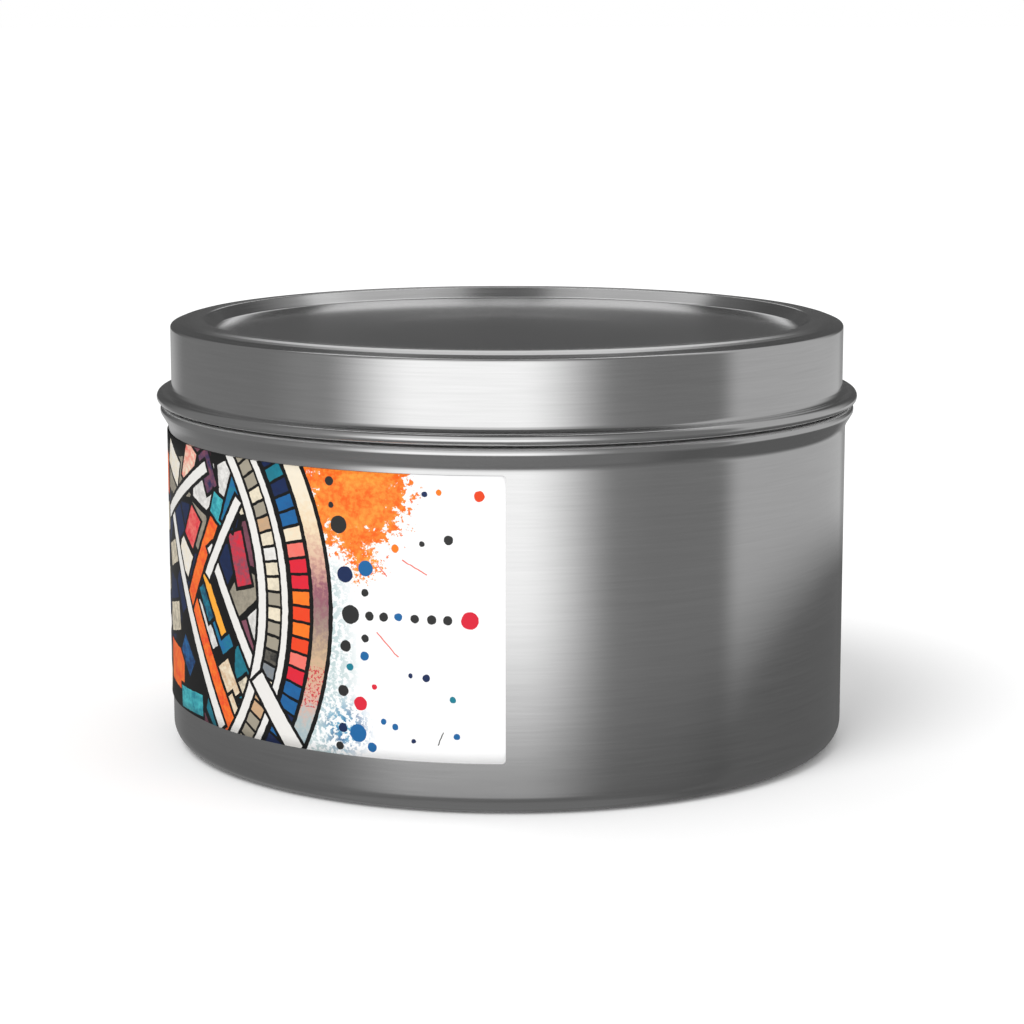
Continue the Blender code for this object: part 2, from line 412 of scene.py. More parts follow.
def lid_profile():
    """The lid's outer side, from the axis out and down to its rolled edge."""
    arch_centre = (CROWN_RADIUS, LID_TOP - CROWN_ARCH)
    crown = arc(arch_centre, CROWN_ARCH, 90.0 + CROWN_START, 90.0 - CROWN_END)
    panel = LID_TOP - PANEL_DEPTH
    span = PANEL_RADIUS - DISH_START
    shares = np.linspace(0.0, 1.0, DISH_STEPS + 1)[:-1]
    dish = [(DISH_START + span * share, panel - DISH_RISE * (1.0 - share**2), 0.0) for share in shares]
    inner_slope = outline([
        (0.0, panel - DISH_RISE, 0.0),
        *dish,
        (PANEL_RADIUS, panel, PANEL_FILLET),
        (crown[0][0], crown[0][1], 0.0),
    ])
    fall = math.tan(math.radians(CROWN_END))
    corner = (SKIRT_RADIUS, crown[-1][1] - (SKIRT_RADIUS - crown[-1][0]) * fall)
    curl_centre = (LID_REACH - LID_CURL, LID_SEAT + LID_CURL)
    flange = LID_SEAT + 2 * LID_CURL
    skirt = outline([
        crown[-1],
        (*corner, LID_CORNER),
        (SKIRT_RADIUS, flange, CURL_FILLET),
        (curl_centre[0], flange, 0.0),
    ])
    return inner_slope + crown[1:] + skirt[1:] + arc(curl_centre, LID_CURL, 90.0, -180.0)[1:]


# Tin body, outside: rolled rim, neck, stop bead, taper, wall and recessed base.
NECK_RADIUS = SKIRT_RADIUS - SHEET - NECK_CLEARANCE
RIM_TOP = top_of("tin_body")
RIM_CURL = 0.6 * MM
BEAD_RADIUS = radius_of("tin_body")
BEAD_TOP = 38.85 * MM
BEAD_REACH = 0.89 * MM  # how far the stop bead stands out from the wall
WALL_RADIUS = BEAD_RADIUS - BEAD_REACH
TAPER_FOOT = 36.64 * MM
TAPER_LEAN = 31.0  # degrees from upright
REST_RING_WIDTH = 1.6 * MM
BASE_RECESS = 1.0 * MM
# Roundings, from the neck down.
NECK_FILLET = 0.4 * MM
BEAD_CORNER = 0.5 * MM
WAIST_CORNER = 0.55 * MM
TAPER_FILLET = 1.8 * MM
BASE_CORNER = 2.4 * MM
RECESS_CORNER = 0.6 * MM


def body_profile():
    """The tin's outer side, from its rolled rim down and in to the axis."""
    rim = arc((NECK_RADIUS - RIM_CURL, RIM_TOP - RIM_CURL), RIM_CURL, 270.0, 0.0)
    waist = TAPER_FOOT + (BEAD_RADIUS - WALL_RADIUS) / math.tan(math.radians(TAPER_LEAN))
    rest_edge = WALL_RADIUS - BASE_CORNER - REST_RING_WIDTH
    below = outline([
        (NECK_RADIUS, RIM_TOP - RIM_CURL, 0.0),
        (NECK_RADIUS, BEAD_TOP, NECK_FILLET),
        (BEAD_RADIUS, BEAD_TOP, BEAD_CORNER),
        (BEAD_RADIUS, waist, WAIST_CORNER),
        (WALL_RADIUS, TAPER_FOOT, TAPER_FILLET),
        (WALL_RADIUS, 0.0, BASE_CORNER),
        (rest_edge, 0.0, RECESS_CORNER),
        (rest_edge - BASE_RECESS, BASE_RECESS, RECESS_CORNER),
        (0.0, BASE_RECESS, 0.0),
    ])
    return rim[:-1] + below


def steel_pieces():
    """The lid and the tin, each one sheet of turned steel."""
    lid = turned("lid_shell", sheet_profile(lid_profile()), steel("lid_brushed_steel", True))
    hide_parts("lid")
    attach(lid, "lid")
    body = turned("tin_shell", sheet_profile(body_profile()), steel("tin_brushed_steel", False))
    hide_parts("tin_body")
    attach(body, "tin")


# ---------------------------------------------------------------- label

LABEL_RADIUS = WALL_RADIUS + 0.17 * MM  # outer face
LABEL_FILM = 0.12 * MM
LABEL_COLUMNS = 241
LABEL_ROWS = 25
LABEL_HALF_ANGLE = math.radians(78.0)
LABEL_CORNER = 0.4 * MM


def label_piece(look):
    """A film with rounded corners round the wall. Its UV map is in millimetres from its middle."""
    low, high = bottom_of("front_label"), top_of("front_label")
    half_width = LABEL_HALF_ANGLE * LABEL_RADIUS
    half_height = (high - low) / 2
    turn = np.radians(np.linspace(0.0, 90.0, 9))
    inside = half_width - LABEL_CORNER
    ends = inside + LABEL_CORNER * np.sin(turn)
    drops = LABEL_CORNER * (1.0 - np.cos(turn))
    middle = np.linspace(-inside, inside, LABEL_COLUMNS)[1:-1]
    across = np.concatenate([-ends[::-1], middle, ends])
    drop = np.concatenate([drops[::-1], np.zeros(len(middle)), drops])
    rows = np.linspace(-1.0, 1.0, LABEL_ROWS)
    mesh = bpy.data.meshes.new("label_film")
    shape = bmesh.new()
    print_map = shape.loops.layers.uv.new("print")
    spots = {}
    grid = []
    for s, fall in zip(across, drop):
        column = []
        for row in rows:
            t = row * (half_height - fall)
            angle = s / LABEL_RADIUS
            x, y = LABEL_RADIUS * math.sin(angle), -LABEL_RADIUS * math.cos(angle)
            vertex = shape.verts.new((x, y, (low + high) / 2 + t))
            spots[vertex] = (s / MM, t / MM)
            column.append(vertex)
        grid.append(column)
    for a, b in zip(grid, grid[1:]):
        for i in range(len(rows) - 1):
            face = shape.faces.new([a[i], b[i], b[i + 1], a[i + 1]])
            for loop in face.loops:
                loop[print_map].uv = spots[loop.vert]
    shape.to_mesh(mesh)
    shape.free()
    obj = add_object("label_film", mesh, look)
    film = obj.modifiers.new("film", "SOLIDIFY")
    film.thickness = LABEL_FILM
    film.offset = -1.0
    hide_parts("front_label")
    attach(obj, "tin")


PAPER = (250, 250, 250)
FILM_TONE = 0.9  # share of the light that the film lets back

# Inks, as sRGB out of 255.
INK = {
    "black": (22, 22, 22),
    "charcoal": (46, 46, 46),
    "white": (232, 230, 226),
    "cream": (236, 224, 198),
    "tan": (205, 165, 125),
    "grey": (160, 152, 135),
    "slate": (120, 130, 140),
    "teal": (18, 125, 145),
    "aqua": (70, 190, 195),
    "blue": (20, 100, 160),
    "navy": (22, 42, 86),
    "orange": (250, 125, 25),
    "amber": (250, 170, 45),
    "red": (235, 70, 25),
    "crimson": (220, 30, 55),
    "salmon": (238, 120, 108),
    "mauve": (130, 75, 92),
}

MOSAIC_EDGE = 23.6  # radius of the leaded pieces' outline, in millimetres
LEADING = 0.42  # millimetres of black round each bar
INNER_BAND = (25.4, 27.3)  # radii of the tiles and of the washes, in millimetres
OUTER_BAND = (28.9, 31.3)
WASH_BAND = (31.6, 33.7)
# Rings beside those bands, from the inside out: inner and outer radius in millimetres, and ink.
RINGS = [
    (MOSAIC_EDGE, 24.0, "black"),
    (24.0, 25.1, "white"),
    (25.1, 25.5, "black"),
    (27.2, 27.5, "black"),
    (27.5, 28.3, "white"),
    (28.3, 29.0, "black"),
    (31.2, 31.7, "black"),
    (33.6, 34.1, "black"),
]
# Tiles between the rings, upwards from some degrees below the level, each this many degrees wide.
TILES_START = 32.0
OUTER_PITCH = 3.25
INNER_PITCH = 3.5
OUTER_TILES = (
    "navy blue navy blue blue crimson salmon red orange red orange crimson crimson salmon cream blue "
    "blue navy teal navy"
).split()
INNER_TILES = (
    "grey tan tan cream slate charcoal grey grey cream grey cream cream white cream tan grey cream "
    "grey"
).split()

# Bars of the mosaic: middle, lean from level, half length, half width, two inks mottled together.
BARS = [
    ((3.4, -10.6), -4.0, 3.6, 2.3, "orange", "red"),
    ((3.0, -5.2), 12.0, 2.6, 1.6, "cream", "grey"),
    ((9.3, -13.6), 2.0, 3.4, 1.2, "teal", "aqua"),
    ((8.4, -8.6), -40.0, 2.0, 1.3, "navy", "blue"),
    ((3.2, 2.2), 18.0, 2.4, 1.3, "grey", "cream"),
    ((8.2, 2.6), -32.0, 1.9, 1.5, "cream", "white"),
    ((3.6, 12.4), -24.0, 2.7, 1.5, "white", "cream"),
    ((9.8, 13.0), 64.0, 2.3, 1.5, "salmon", "cream"),
    ((6.0, 6.4), -58.0, 1.9, 1.4, "navy", "navy"),
    ((14.7, 13.0), -62.0, 2.2, 1.2, "mauve", "navy"),
    ((10.6, 6.2), 56.0, 2.0, 1.4, "crimson", "salmon"),
    ((16.6, 8.4), 68.0, 2.2, 1.3, "aqua", "teal"),
    ((20.9, 4.2), -74.0, 2.9, 1.2, "crimson", "mauve"),
    ((14.4, -1.4), -57.0, 2.0, 1.1, "navy", "teal"),
    ((17.5, -4.6), -57.0, 1.9, 1.2, "teal", "blue"),
    ((18.6, -9.4), -57.0, 2.0, 1.1, "tan", "cream"),
    ((21.7, -4.2), -66.0, 1.7, 0.9, "mauve", "mauve"),
    ((19.4, -13.2), -57.0, 2.1, 1.1, "cream", "tan"),
    ((22.3, -10.9), -57.0, 2.3, 0.8, "grey", "cream"),
    ((14.6, -8.4), -57.0, 8.6, 1.25, "red", "orange"),
    ((15.4, -0.9), -57.0, 4.3, 0.55, "amber", "amber"),
    ((12.6, 2.3), 57.0, 6.4, 0.85, "red", "orange"),
    ((20.4, 11.6), 66.0, 4.4, 1.15, "teal", "blue"),
    ((9.6, -3.4), -57.0, 13.8, 0.65, "white", "white"),
    ((19.2, -1.6), -57.0, 7.6, 0.6, "white", "white"),
    ((17.6, 6.0), 55.0, 5.6, 0.55, "white", "white"),
    ((6.6, 9.4), 27.0, 8.8, 0.6, "white", "white"),
]
# Bars that cross the rings.
CROSSING_BARS = [((26.4, -11.9), -52.0, 4.6, 1.0, "white", "white")]

# Splashes and drops of ink outside the rings: middle, radius, ink.
DROPS = [
    ((36.2, 0.0), 1.0, "charcoal"),
    ((38.4, 0.0), 0.48, "charcoal"),
    ((40.0, 0.0), 0.5, "charcoal"),
    ((41.6, 0.1), 0.42, "blue"),
    ((43.4, 0.0), 0.46, "charcoal"),
    ((45.2, 0.0), 0.5, "charcoal"),
    ((46.9, 0.0), 0.48, "charcoal"),
    ((49.2, 0.0), 0.92, "crimson"),
    ((34.9, 9.4), 0.95, "charcoal"),
    ((35.6, 4.2), 0.9, "navy"),
    ((38.0, 5.0), 0.82, "blue"),
    ((37.9, 2.4), 0.42, "charcoal"),
    ((47.0, 8.4), 0.5, "charcoal"),
    ((44.2, 7.9), 0.3, "charcoal"),
    ((50.2, 13.0), 0.55, "red"),
    ((46.0, 13.3), 0.3, "orange"),
    ((44.5, 13.1), 0.3, "navy"),
    ((41.3, 7.3), 0.42, "orange"),
    ((44.6, -6.2), 0.42, "navy"),
    ((42.9, -6.0), 0.25, "navy"),
    ((47.4, -8.4), 0.34, "teal"),
    ((47.8, -12.3), 0.34, "blue"),
    ((43.2, -13.0), 0.24, "navy"),
    ((41.2, -11.6), 0.34, "blue"),
    ((39.9, -11.1), 0.32, "blue"),
    ((38.6, -14.0), 0.52, "blue"),
    ((37.3, -9.4), 0.74, "crimson"),
    ((38.9, -7.5), 0.3, "crimson"),
    ((35.6, -3.4), 0.62, "charcoal"),
    ((37.8, -4.3), 0.5, "blue"),
    ((37.9, -2.4), 0.42, "charcoal"),
    ((36.1, -5.6), 0.42, "teal"),
    ((35.3, -8.2), 0.6, "charcoal"),
    ((35.2, -12.2), 0.5, "navy"),
    ((37.0, -12.6), 0.95, "blue"),
    ((34.8, -14.2), 0.45, "charcoal"),
    ((33.8, 13.9), 0.5, "charcoal"),
    ((34.0, 11.4), 0.32, "charcoal"),
    ((30.9, -12.6), 0.45, "charcoal"),
]
# Thin strokes between the drops: middle, lean from level, half length, half width, ink.
STROKES = [
    ((43.4, 5.4), -28.0, 1.5, 0.07, "salmon"),
    ((40.4, -2.9), -46.0, 1.7, 0.07, "salmon"),
    ((39.8, 5.0), -50.0, 0.9, 0.06, "salmon"),
    ((46.1, -12.6), 68.0, 0.75, 0.06, "charcoal"),
]


def box_distance(nodes, spot, middle, lean, half_length, half_width):
    """How far a spot lies outside a leaning bar, by its farther side, and below 0 inside it."""
    turn = math.radians(lean)
    offset = nodes.vector("SUBTRACT", spot, (*middle, 0.0))
    along = nodes.vector("DOT_PRODUCT", offset, (math.cos(turn), math.sin(turn), 0.0))
    across = nodes.vector("DOT_PRODUCT", offset, (-math.sin(turn), math.cos(turn), 0.0))
    return nodes.maths(
        "MAXIMUM",
        nodes.maths("SUBTRACT", nodes.maths("ABSOLUTE", along), half_length),
        nodes.maths("SUBTRACT", nodes.maths("ABSOLUTE", across), half_width),
    )


def between(nodes, value, low, high):
    """1 where low < value < high."""
    middle, reach = (low + high) / 2, (high - low) / 2
    return nodes.maths("COMPARE", value, middle, reach)


def tiles(nodes, angle, pitch, inks, gap):
    """Their colours, and 1 in the gaps between them."""
    count = nodes.maths("DIVIDE", nodes.maths("ADD", angle, TILES_START), pitch)
    within = nodes.maths("ABSOLUTE", nodes.maths("SUBTRACT", nodes.maths("FRACT", count), 0.5))
    picked = nodes.palette(nodes.maths("DIVIDE", count, float(len(inks))), [INK[ink] for ink in inks])
    return picked, nodes.maths("GREATER_THAN", within, 0.5 - gap / 2)


def paint_bars(nodes, paint, spot, bars, mottle):
    """Leaning bars over the paint, each with black round it."""
    for middle, lean, half_length, half_width, ink, other in bars:
        away = box_distance(nodes, spot, middle, lean, half_length, half_width)
        fill = colour(*INK[ink])
        if ink != other:
            fill = nodes.mix(mottle, fill, colour(*INK[other]))
        paint = nodes.mix(nodes.maths("LESS_THAN", away, LEADING), paint, colour(*INK["black"]))
        paint = nodes.mix(nodes.maths("LESS_THAN", away, 0.0), paint, fill)
    return paint


class Sheet:
    """The places and the mottling that the print's layers share, in millimetres from its middle."""

    def __init__(self, nodes):
        self.flat = nodes.put("ShaderNodeUVMap", uv_map="print").outputs["UV"]
        side = nodes.maths("SIGN", nodes.split(self.flat)["X"])
        spot = nodes.vector("MULTIPLY", self.flat, nodes.join(side, side, 1.0))
        wobble_inputs = {"Vector": self.flat, "Scale": 1.3, "Detail": 3.0}
        wobble = nodes.put("ShaderNodeTexNoise", wobble_inputs).outputs["Color"]
        wobble = nodes.vector("SUBTRACT", wobble, (0.5, 0.5, 0.5))
        self.spot = nodes.vector("ADD", spot, nodes.vector("MULTIPLY", wobble, (0.22, 0.22, 0.0)))
        self.across = nodes.split(self.spot)["X"]
        self.up = nodes.split(self.spot)["Y"]
        self.out = nodes.vector("LENGTH", self.spot)
        self.broad = nodes.ramp(nodes.noise(self.flat, 0.45, 4.0, 0.6), 0.35, 0.65)
        self.fine = nodes.ramp(nodes.noise(self.flat, 1.6, 4.0, 0.65), 0.38, 0.62)
        self.grain = nodes.ramp(nodes.noise(self.flat, 3.0, 3.0, 0.7), 0.3, 0.7)
        self.mottle = nodes.maths("MULTIPLY", nodes.maths("ADD", self.broad, self.fine), 0.5)
        self.fade = nodes.ramp(self.mottle, 0.0, 1.0, 0.0, 0.3)


def splashes(nodes, sheet, paint):
    """Washes and spatters of ink on the paper, strokes and drops."""
    below = nodes.maths("ABSOLUTE", nodes.maths("ADD", sheet.up, 6.0))
    wash_edge = nodes.maths("ADD", sheet.across, nodes.maths("MULTIPLY", below, 0.12))
    wash = nodes.ramp(wash_edge, 34.6, 38.4, 0.85, 0.0)
    wash = nodes.maths("MULTIPLY", wash, nodes.ramp(sheet.fine, 0.15, 0.75, 0.1, 1.0))
    wash = nodes.maths("MULTIPLY", wash, nodes.ramp(sheet.up, 4.0, 6.5, 1.0, 0.0))
    paint = nodes.mix(wash, paint, colour(182, 204, 205))

    reach = nodes.vector("LENGTH", nodes.vector("SUBTRACT", sheet.spot, (35.4, -12.2, 0.0)))
    spatter = nodes.maths(
        "MULTIPLY", nodes.ramp(reach, 0.6, 4.2, 1.0, 0.0), nodes.ramp(sheet.fine, 0.52, 0.62)
    )
    blues = nodes.mix(sheet.broad, colour(20, 95, 150), colour(110, 175, 205))
    paint = nodes.mix(spatter, paint, blues)

    reach = nodes.vector("SUBTRACT", sheet.spot, (36.6, 13.6, 0.0))
    reach = nodes.vector("LENGTH", nodes.vector("MULTIPLY", reach, (1.0, 0.95, 0.0)))
    ragged = nodes.noise(sheet.flat, 0.9, 5.0, 0.7)
    ragged = nodes.ramp(ragged, 0.25, 0.75, -3.4, 3.4, smooth=False)
    blot = nodes.ramp(nodes.maths("ADD", reach, ragged), 6.0, 6.25, 1.0, 0.0)
    tongue = box_distance(nodes, sheet.spot, (36.2, 8.4), -62.0, 4.4, 1.3)
    ragged = nodes.ramp(sheet.grain, 0.0, 1.0, -1.1, 1.3, smooth=False)
    tongue = nodes.ramp(nodes.maths("ADD", tongue, ragged), 0.0, 0.3, 1.0, 0.0)
    oranges = nodes.mix(sheet.mottle, colour(245, 96, 12), colour(252, 160, 60))
    paint = nodes.mix(nodes.maths("MAXIMUM", blot, tongue), paint, oranges)

    for middle, lean, half_length, half_width, ink in STROKES:
        away = box_distance(nodes, sheet.spot, middle, lean, half_length, half_width)
        paint = nodes.mix(nodes.maths("LESS_THAN", away, 0.0), paint, colour(*INK[ink]))
    for middle, radius, ink in DROPS:
        away = nodes.vector("DISTANCE", sheet.spot, (*middle, 0.0))
        paint = nodes.mix(nodes.maths("LESS_THAN", away, radius), paint, colour(*INK[ink]))
    return paint


# Washes of the broad band, from the bottom up, as sRGB out of 255.
BAND_WASHES = [
    (150, 175, 185), (178, 190, 190), (222, 170, 150), (205, 175, 140), (160, 135, 125),
    (150, 92, 108), (215, 170, 150), (238, 215, 180), (240, 228, 205), (236, 226, 206),
]


def band_print(nodes, sheet):
    """The broad band of washes, with red specks low down."""
    height = nodes.maths("ADD", sheet.up, nodes.maths("MULTIPLY", sheet.fine, 2.0))
    band = nodes.palette(nodes.ramp(height, -15.0, 17.0, smooth=False), BAND_WASHES, smooth=True)
    specks = nodes.maths(
        "MULTIPLY", nodes.ramp(sheet.grain, 0.62, 0.7), between(nodes, sheet.up, -10.5, -6.0)
    )
    return nodes.mix(specks, band, colour(205, 60, 70))


def tile_prints(nodes, sheet):
    """The outer and the inner ring of tiles."""
    angle = nodes.maths("DEGREES", nodes.maths("ARCTAN2", sheet.up, sheet.across))
    outer, outer_gap = tiles(nodes, angle, OUTER_PITCH, OUTER_TILES, 0.19)
    inner, inner_gap = tiles(nodes, angle, INNER_PITCH, INNER_TILES, 0.2)
    outer = nodes.mix(sheet.fade, outer, colour(*INK["salmon"]), "SOFT_LIGHT")
    inner = nodes.mix(sheet.fade, inner, colour(*INK["grey"]))
    outer = nodes.mix(outer_gap, outer, colour(*INK["black"]))
    inner = nodes.mix(inner_gap, inner, colour(*INK["black"]))
    return outer, inner


# Inks of the cells between the bars.
CELL_INKS = "black navy black teal cream black grey navy black mauve black white".split()


def mosaic_print(nodes, sheet):
    """The leaded pieces inside the rings: cells, and bars over them."""
    cell_inputs = {"Vector": sheet.spot, "Scale": 0.2, "Randomness": 0.9}
    cells = nodes.put("ShaderNodeTexVoronoi", cell_inputs, voronoi_dimensions="2D")
    edges = nodes.put(
        "ShaderNodeTexVoronoi", cell_inputs, voronoi_dimensions="2D", feature="DISTANCE_TO_EDGE"
    ).outputs["Distance"]
    pick = nodes.put("ShaderNodeSeparateColor", {"Color": cells.outputs["Color"]}).outputs[0]
    glass = nodes.palette(pick, [INK[ink] for ink in CELL_INKS])
    glass = nodes.mix(sheet.fade, glass, colour(*INK["black"]))
    glass = nodes.mix(nodes.maths("LESS_THAN", edges, 0.075), glass, colour(*INK["black"]))
    glass = paint_bars(nodes, glass, sheet.spot, BARS, sheet.mottle)
    spine = nodes.maths("LESS_THAN", nodes.maths("ABSOLUTE", sheet.across), 0.35)
    return nodes.mix(spine, glass, colour(*INK["black"]))


def label_print(nodes):
    """The print: a mosaic of leaded pieces in rings of tiles, and splashes of ink round them."""
    sheet = Sheet(nodes)
    paint = splashes(nodes, sheet, colour(*PAPER))
    outer, inner = tile_prints(nodes, sheet)
    paint = nodes.mix(between(nodes, sheet.out, *WASH_BAND), paint, band_print(nodes, sheet))
    paint = nodes.mix(between(nodes, sheet.out, *OUTER_BAND), paint, outer)
    paint = nodes.mix(between(nodes, sheet.out, *INNER_BAND), paint, inner)
    for low, high, ink in RINGS:
        paint = nodes.mix(between(nodes, sheet.out, low, high), paint, colour(*INK[ink]))
    inside = nodes.maths("LESS_THAN", sheet.out, MOSAIC_EDGE)
    paint = nodes.mix(inside, paint, mosaic_print(nodes, sheet))
    paint = paint_bars(nodes, paint, sheet.spot, CROSSING_BARS, sheet.mottle)
    return nodes.mix(1.0, paint, (FILM_TONE, FILM_TONE, FILM_TONE, 1.0), "MULTIPLY")


def label_look():
    """Matte film, printed."""
    made, shader, nodes = new_material("printed_film")
    nodes.feed(shader.inputs["Base Color"], label_print(nodes))
    shader.inputs["Roughness"].default_value = 0.45
    shader.inputs["Specular IOR Level"].default_value = 0.3
    return made


# ---------------------------------------------------------------- contents

GAP = 0.3 * MM  # between pieces that touch on the real candle
WAX_SAG = 0.4 * MM  # how far the wax's middle lies below its edge
WICK_END = 0.7 * MM  # height of the wick's rounded end
WICK_RADIUS = radius_of("wick")
NECK_BORE = WICK_RADIUS + GAP
NECK_WALL = 0.35 * MM
DISC_BOTTOM = bottom_of("wick_sustainer")
NECK_TOP = top_of("wick_sustainer")
DISC_RADIUS = radius_of("wick_sustainer")
WICK_STEPS = 280
BRAID_STRANDS = 4
BRAID_PITCH = 3.4 * MM  # height in which a strand goes once round a strand's width


def placed(obj, node):
    """Puts a piece of the candle or the tin in its node's place."""
    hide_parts(node)
    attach(obj, "tin")


def plain_look(name, red, green, blue, roughness, spots, depth, scale=900.0, metallic=0.0):
    """A colour that varies a little from spot to spot, with a fine relief."""
    made, shader, nodes = new_material(name)
    place = nodes.put("ShaderNodeTexCoord").outputs["Object"]
    coarse = nodes.noise(place, scale / 8, 4.0, 0.6)
    grain = nodes.noise(place, scale, 3.0, 0.6)
    darker = colour(red - spots, green - spots, blue - spots)
    tint = nodes.mix(nodes.ramp(coarse, 0.35, 0.65), colour(red, green, blue), darker)
    nodes.feed(shader.inputs["Base Color"], tint)
    rough = nodes.ramp(grain, 0.3, 0.7, roughness - 0.04, roughness + 0.04, smooth=False)
    nodes.feed(shader.inputs["Roughness"], rough)
    nodes.feed(shader.inputs["Normal"], bump(nodes, grain, depth, 0.6))
    shader.inputs["Metallic"].default_value = metallic
    return made, shader


def wax_piece():
    """Cast wax: its surface climbs a little at the tin's wall and at the wick."""
    low, high, edge = bottom_of("wax_fill"), top_of("wax_fill"), radius_of("wax_fill")
    surface = []
    for share in np.linspace(0.0, 1.0, 60):
        radius = NECK_BORE + (edge - NECK_BORE) * (0.5 - 0.5 * math.cos(math.pi * share))
        at_wall = math.exp((radius - edge) / (1.4 * MM))
        at_wick = 0.5 * math.exp((NECK_BORE - radius) / (0.9 * MM))
        surface.append((radius, high - WAX_SAG + WAX_SAG * min(at_wall + at_wick, 1.0), 0.0))
    disc_top = DISC_BOTTOM + SHEET + GAP
    neck_bore = NECK_BORE + NECK_WALL + GAP
    profile = outline([
        *surface,
        (edge, low, 0.85 * MM),
        (DISC_RADIUS + GAP, low, 0.0),
        (DISC_RADIUS + GAP, disc_top, 0.0),
        (neck_bore, disc_top, 0.0),
        (neck_bore, NECK_TOP + GAP, 0.0),
        (NECK_BORE, NECK_TOP + GAP, 0.0),
    ])
    look, shader = plain_look("soy_wax", 243, 236, 216, 0.42, 5, 0.01 * MM, 500.0)
    shader.inputs["Subsurface Weight"].default_value = 0.35
    shader.inputs["Subsurface Radius"].default_value = (1.0, 0.8, 0.5)
    shader.inputs["Subsurface Scale"].default_value = 2.0 * MM
    placed(turned("soy_wax", profile, look), "wax_fill")


def wick_piece():
    """A braided cotton cord with a rounded, trimmed end."""
    low, high = bottom_of("wick"), top_of("wick")

    def strands(angle, height):
        rise = 2 * math.pi * height / BRAID_PITCH * BRAID_STRANDS / 2
        left = math.cos(BRAID_STRANDS * angle + rise)
        right = math.cos(BRAID_STRANDS * angle - rise)
        return 0.86 + 0.14 * max(left, right)

    profile = [(0.0, low)]
    for height in np.linspace(low, high, WICK_STEPS + 1):
        past = max(0.0, (height - (high - WICK_END)) / WICK_END)
        if past < 1.0:
            profile.append((WICK_RADIUS * math.sqrt(1.0 - 0.75 * past**2), height))
    profile.append((0.0, high))
    look, shader = plain_look("waxed_cotton", 238, 231, 212, 0.8, 14, 0.03 * MM, 6000.0)
    shader.inputs["Sheen Weight"].default_value = 0.3
    placed(turned("braided_wick", profile, look, 56, strands), "wick")


def wick_holder_pieces():
    """The steel disc with its crimped neck, and the foam sticker under it."""
    neck = NECK_BORE + NECK_WALL

    def crimps(angle, height):
        """Three dents pressed into the neck, which leave the disc as it is."""
        upper = min(1.0, max(0.0, (height - DISC_BOTTOM - 1.6 * MM) / (0.8 * MM)))
        return 1.0 - 0.05 * upper * max(0.0, math.cos(3 * angle))

    rim = 0.1 * MM
    profile = outline([
        (neck, NECK_TOP, 0.0),
        (neck, DISC_BOTTOM + SHEET, 0.6 * MM),
        (DISC_RADIUS, DISC_BOTTOM + SHEET, rim),
        (DISC_RADIUS, DISC_BOTTOM, rim),
        (NECK_BORE, DISC_BOTTOM, 0.12 * MM),
        (NECK_BORE, NECK_TOP, 0.0),
    ])
    look, _ = plain_look("plated_steel", 214, 214, 212, 0.26, 8, 0.004 * MM, 1500.0, metallic=1.0)
    placed(turned("crimped_sustainer", profile, look, 96, crimps), "wick_sustainer")
    low, high, edge = bottom_of("wick_sticker"), top_of("wick_sticker"), radius_of("wick_sticker")
    profile = outline([
        (0.0, high, 0.0), (edge, high, 0.15 * MM), (edge, low, 0.15 * MM), (0.0, low, 0.0),
    ])
    look, _ = plain_look("adhesive_foam", 232, 232, 228, 0.88, 12, 0.05 * MM, 3000.0)
    placed(turned("foam_sticker", profile, look, 96), "wick_sticker")


def base_label_piece():
    """A plain paper disc in the base's recess."""
    low, high, edge = bottom_of("base_label"), top_of("base_label"), radius_of("base_label")
    profile = outline([
        (0.0, high, 0.0), (edge, high, 0.03 * MM), (edge, low, 0.03 * MM), (0.0, low, 0.0),
    ])
    look, _ = plain_look("label_paper", 240, 239, 234, 0.62, 4, 0.008 * MM, 2500.0)
    placed(turned("paper_disc", profile, look), "base_label")


# ---------------------------------------------------------------- studio


def smooth_band(nodes, value, low, high, edge):
    """1 between low and high, falling smoothly to 0 over an edge's width centred on each."""
    rise = nodes.ramp(value, low - edge / 2, low + edge / 2)
    fall = nodes.ramp(value, high - edge / 2, high + edge / 2, 1.0, 0.0)
    return nodes.maths("MULTIPLY", rise, fall)


def emission_only(name):
    """A material with no shader yet, whose light the tin mirrors but isn't lit by, and its Nodes."""
    made = bpy.data.materials.new(name)
    made.use_nodes = True
    made.node_tree.nodes.clear()
    made.cycles.emission_sampling = "NONE"
    return made, Nodes(made.node_tree)


# What the steel mirrors. Azimuths are from the camera, right positive, and levels are of white.
DOME_LEVEL = 0.24
# Cards round the tin, each over those before: azimuth from, to, edge; elevation from, to, edge; level.
CARDS = {
    "right_card": (78.5, 158.0, 10.0, -50.0, 60.0, 10.0, 0.56),
    "left_card": (-190.0, -150.0, 20.0, -50.0, 60.0, 10.0, 0.46),
    "right_rim": (160.0, 190.0, 10.0, -50.0, 60.0, 10.0, 0.36),
    "left_glow": (-78.0, 0.0, 24.0, -50.0, 60.0, 10.0, 0.32),
    "right_glow": (0.0, 40.0, 24.0, -50.0, 60.0, 10.0, 0.29),
    "front_softbox": (-46.5, 20.5, 34.0, -36.0, 53.0, 8.0, 1.48),
}
SOFTBOX_UPPER_LEVEL = 0.9
BACK_FLAG_LEVEL = 0.1
BACK_STRIP_LEVEL = 0.9
CEILING_LEVEL = 0.13
CANOPY_LEVEL = 1.15
GROUND_LEVEL = 0.5


